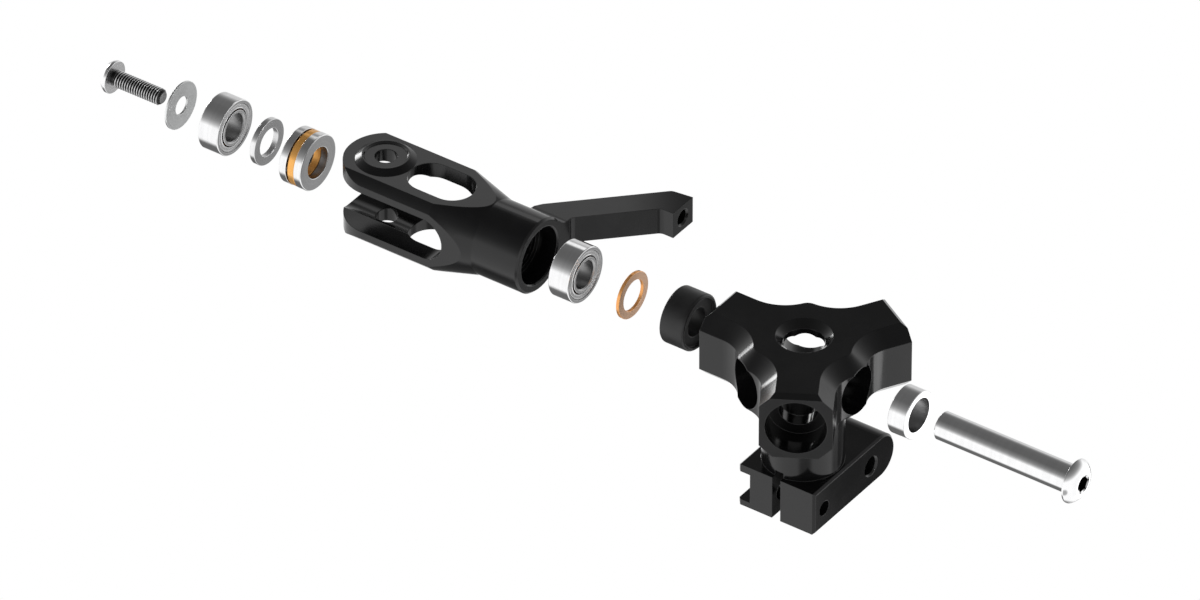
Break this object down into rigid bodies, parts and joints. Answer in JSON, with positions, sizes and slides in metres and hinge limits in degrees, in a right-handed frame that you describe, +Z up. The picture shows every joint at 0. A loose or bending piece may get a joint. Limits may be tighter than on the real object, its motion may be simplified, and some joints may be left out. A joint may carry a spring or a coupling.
{
  "type": "helicopter rotor hub",
  "caption": "Three-arm rotor head for a model helicopter with a split mast clamp, one arm taken apart: grip with pitch arm, bearings, shims, damper, spindle and screw in a row.",
  "frame": {"origin": "mouth of the mast bore, on the mast axis at the underside of the clamp block", "axes": "+Z up the mast, the opened arm and its pieces along -X, the spindle axis parallel to X at z 26.3 mm"},
  "size_m": [0.1952, 0.0423, 0.0339],
  "materials": {
    "black_anodised": "satin black anodised",
    "damper_rubber": "satin",
    "copper": "polished copper",
    "cage_brass": "polished",
    "bright_steel": "polished",
    "screw_steel": "satin",
    "washer_steel": "matt",
    "race_steel": "ground",
    "shield_steel": "satin",
    "ball_steel": "polished"
  },
  "bodies": {
    "hub": {"hub": "black_anodised"},
    "damper": {"damper": "damper_rubber"},
    "shim": {"copper_shim": "copper"},
    "bush": {"hub_bush": "bright_steel"},
    "spindle": {"spindle": "bright_steel"},
    "inner_bearing_core": {"inner_bearing_inner_race": "race_steel"},
    "inner_bearing_ball_set": {"inner_bearing_balls": "ball_steel", "inner_bearing_cage": "cage_brass"},
    "inner_bearing_shell": {"inner_bearing_outer_race": "race_steel", "inner_bearing_shields": "shield_steel"},
    "grip": {"blade_grip": "black_anodised"},
    "thrust_shaft_side": {"thrust_shaft_race": "race_steel"},
    "thrust_ball_set": {"thrust_balls": "ball_steel", "thrust_cage": "cage_brass"},
    "thrust_housing_side": {"thrust_housing_race": "race_steel"},
    "spacer": {"bearing_spacer": "race_steel"},
    "outer_bearing_core": {"outer_bearing_inner_race": "race_steel"},
    "outer_bearing_ball_set": {"outer_bearing_balls": "ball_steel", "outer_bearing_cage": "cage_brass"},
    "outer_bearing_shell": {"outer_bearing_outer_race": "race_steel", "outer_bearing_shields": "shield_steel"},
    "washer": {"washer": "washer_steel"},
    "screw": {"retaining_screw": "screw_steel"}
  },
  "joints": [
    {"name": "assembly", "type": "slide", "parent": "hub", "child": "inner_bearing_core", "axis": [1, 0, 0], "range_m": [0, 0.02665]},
    {"name": "feather", "type": "hinge", "parent": "inner_bearing_core", "child": "inner_bearing_shell", "pos_m": [-0.0433, 0, 0.0263], "axis": [1, 0, 0], "range_deg": [-25, 25]},
    {"name": "grip_fit", "type": "slide", "parent": "inner_bearing_shell", "child": "grip", "axis": [1, 0, 0], "range_m": [0, 0.0088]},
    {"name": "inner_balls_roll", "type": "hinge", "parent": "inner_bearing_core", "child": "inner_bearing_ball_set", "pos_m": [-0.0433, 0, 0.0263], "axis": [1, 0, 0], "range_deg": [-30, 30]},
    {"name": "damper_fit", "type": "slide", "parent": "hub", "child": "damper", "axis": [1, 0, 0], "range_m": [0, 0.00925]},
    {"name": "shim_fit", "type": "slide", "parent": "hub", "child": "shim", "axis": [1, 0, 0], "range_m": [0, 0.0177]},
    {"name": "thrust_fit", "type": "slide", "parent": "hub", "child": "thrust_shaft_side", "axis": [1, 0, 0], "range_m": [0, 0.07595]},
    {"name": "thrust_race_turn", "type": "hinge", "parent": "thrust_shaft_side", "child": "thrust_housing_side", "pos_m": [-0.0973, 0, 0.0263], "axis": [1, 0, 0], "range_deg": [-45, 45]},
    {"name": "thrust_balls_roll", "type": "hinge", "parent": "thrust_shaft_side", "child": "thrust_ball_set", "pos_m": [-0.0973, 0, 0.0263], "axis": [1, 0, 0], "range_deg": [-25, 25]},
    {"name": "spacer_fit", "type": "slide", "parent": "hub", "child": "spacer", "axis": [1, 0, 0], "range_m": [0, 0.0814]},
    {"name": "outer_bearing_fit", "type": "slide", "parent": "hub", "child": "outer_bearing_core", "axis": [1, 0, 0], "range_m": [0, 0.08735]},
    {"name": "outer_race_turn", "type": "hinge", "parent": "outer_bearing_core", "child": "outer_bearing_shell", "pos_m": [-0.1143, 0, 0.0263], "axis": [1, 0, 0], "range_deg": [-45, 45]},
    {"name": "outer_balls_roll", "type": "hinge", "parent": "outer_bearing_core", "child": "outer_bearing_ball_set", "pos_m": [-0.1143, 0, 0.0263], "axis": [1, 0, 0], "range_deg": [-30, 30]},
    {"name": "washer_fit", "type": "slide", "parent": "hub", "child": "washer", "axis": [1, 0, 0], "range_m": [0, 0.0943]},
    {"name": "screw_fit", "type": "slide", "parent": "hub", "child": "screw", "axis": [1, 0, 0], "range_m": [0, 0.1077]},
    {"name": "bush_fit", "type": "slide", "parent": "hub", "child": "bush", "axis": [-1, 0, 0], "range_m": [0, 0.0279]},
    {"name": "spindle_fit", "type": "slide", "parent": "hub", "child": "spindle", "axis": [-1, 0, 0], "range_m": [0, 0.05795]}
  ],
  "couplings": [
    {"joint": "grip_fit", "follows": "assembly", "ratio": 0.33021},
    {"joint": "damper_fit", "follows": "assembly", "ratio": 0.34709},
    {"joint": "shim_fit", "follows": "assembly", "ratio": 0.66417},
    {"joint": "thrust_fit", "follows": "assembly", "ratio": 2.8499},
    {"joint": "spacer_fit", "follows": "assembly", "ratio": 3.0544},
    {"joint": "outer_bearing_fit", "follows": "assembly", "ratio": 3.2777},
    {"joint": "washer_fit", "follows": "assembly", "ratio": 3.5385},
    {"joint": "screw_fit", "follows": "assembly", "ratio": 4.0413},
    {"joint": "bush_fit", "follows": "assembly", "ratio": 1.0469},
    {"joint": "spindle_fit", "follows": "assembly", "ratio": 2.1745},
    {"joint": "inner_balls_roll", "follows": "feather", "ratio": 0.6067},
    {"joint": "thrust_race_turn", "follows": "feather", "ratio": 1},
    {"joint": "thrust_balls_roll", "follows": "feather", "ratio": 0.5},
    {"joint": "outer_race_turn", "follows": "feather", "ratio": 1},
    {"joint": "outer_balls_roll", "follows": "feather", "ratio": 0.6067}
  ]
}
